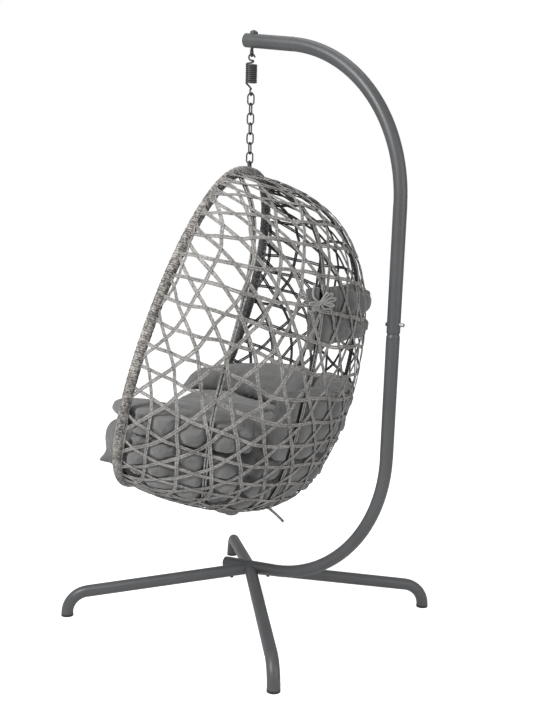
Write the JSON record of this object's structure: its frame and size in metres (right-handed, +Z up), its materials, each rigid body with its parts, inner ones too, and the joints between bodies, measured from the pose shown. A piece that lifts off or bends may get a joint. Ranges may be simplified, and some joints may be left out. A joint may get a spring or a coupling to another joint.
{
  "type": "hanging egg chair",
  "caption": "Egg-shaped woven hanging chair with cushions, on a spring and chain under a C-shaped tube stand with four legs.",
  "frame": {"origin": "on the floor, under the middle of the whole chair's bounding box", "axes": "+Z up, +Y towards the post, -Y towards the open side of the stand"},
  "size_m": [0.992, 1.0447, 1.9518],
  "materials": {
    "powder_coat": "satin powder coat",
    "black_plastic": "matte moulded",
    "dark_steel": "dark coated steel",
    "bright_steel": "zinc plated",
    "wicker": "flat plaited strands, mottled",
    "cushion_fabric": "plain woven cover, puffy"
  },
  "bodies": {
    "stand": {"lower_post": "powder_coat", "upper_post": "powder_coat", "stub_pair_right": "powder_coat", "stub_pair_left": "powder_coat", "leg_right_back": "powder_coat", "leg_left_back": "powder_coat", "leg_left_front": "powder_coat", "leg_right_front": "powder_coat", "foot_caps": "black_plastic", "leg_bolts": "dark_steel", "run_end_cap": "black_plastic", "arm_end_cap": "black_plastic", "post_bolt": "dark_steel", "post_nut": "bright_steel", "eye_bolt": "dark_steel", "dome_nut": "dark_steel"},
    "hook": {"spring": "dark_steel"},
    "upper_link": {"chain_link_1": "dark_steel"},
    "second_link": {"chain_link_2": "dark_steel"},
    "chain": {"chain_link_3": "dark_steel", "chain_link_4": "dark_steel", "chain_link_5": "dark_steel", "chain_link_6": "dark_steel"},
    "basket": {"chain_link_7": "dark_steel", "hanging_loop": "dark_steel", "rim_tube": "dark_steel", "rim_wrap": "wicker", "rib_inner_right": "dark_steel", "rib_inner_left": "dark_steel", "rib_outer_right": "dark_steel", "rib_outer_left": "dark_steel", "woven_shell": "wicker", "seat_cushion": "cushion_fabric", "arm_pad_right": "cushion_fabric", "arm_pad_left": "cushion_fabric", "back_pad": "cushion_fabric", "head_pillow": "cushion_fabric"}
  },
  "joints": [
    {"name": "swing", "type": "hinge", "parent": "stand", "child": "hook", "pos_m": [-0.02, -0.08, 1.875], "axis": [0.9415, 0.3371, 0], "range_deg": [-12, 4]},
    {"name": "bounce", "type": "slide", "parent": "hook", "child": "upper_link", "axis": [0, 0, -1], "range_m": [0, 0.04], "stiffness_N_per_m": 20000, "springref_m": -0.0175, "deforming": ["spring"]},
    {"name": "sway", "type": "hinge", "parent": "upper_link", "child": "second_link", "pos_m": [-0.02, -0.08, 1.72752], "axis": [0.3371, -0.9415, 0], "range_deg": [-7, 7]},
    {"name": "swivel", "type": "hinge", "parent": "second_link", "child": "chain", "pos_m": [-0.02, -0.08, 1.69732], "axis": [0, 0, 1], "range_deg": [-25, 25]},
    {"name": "rock", "type": "hinge", "parent": "chain", "child": "basket", "pos_m": [-0.02, -0.08, 1.57652], "axis": [0.9415, 0.3371, 0], "range_deg": [-6, 4]}
  ]
}
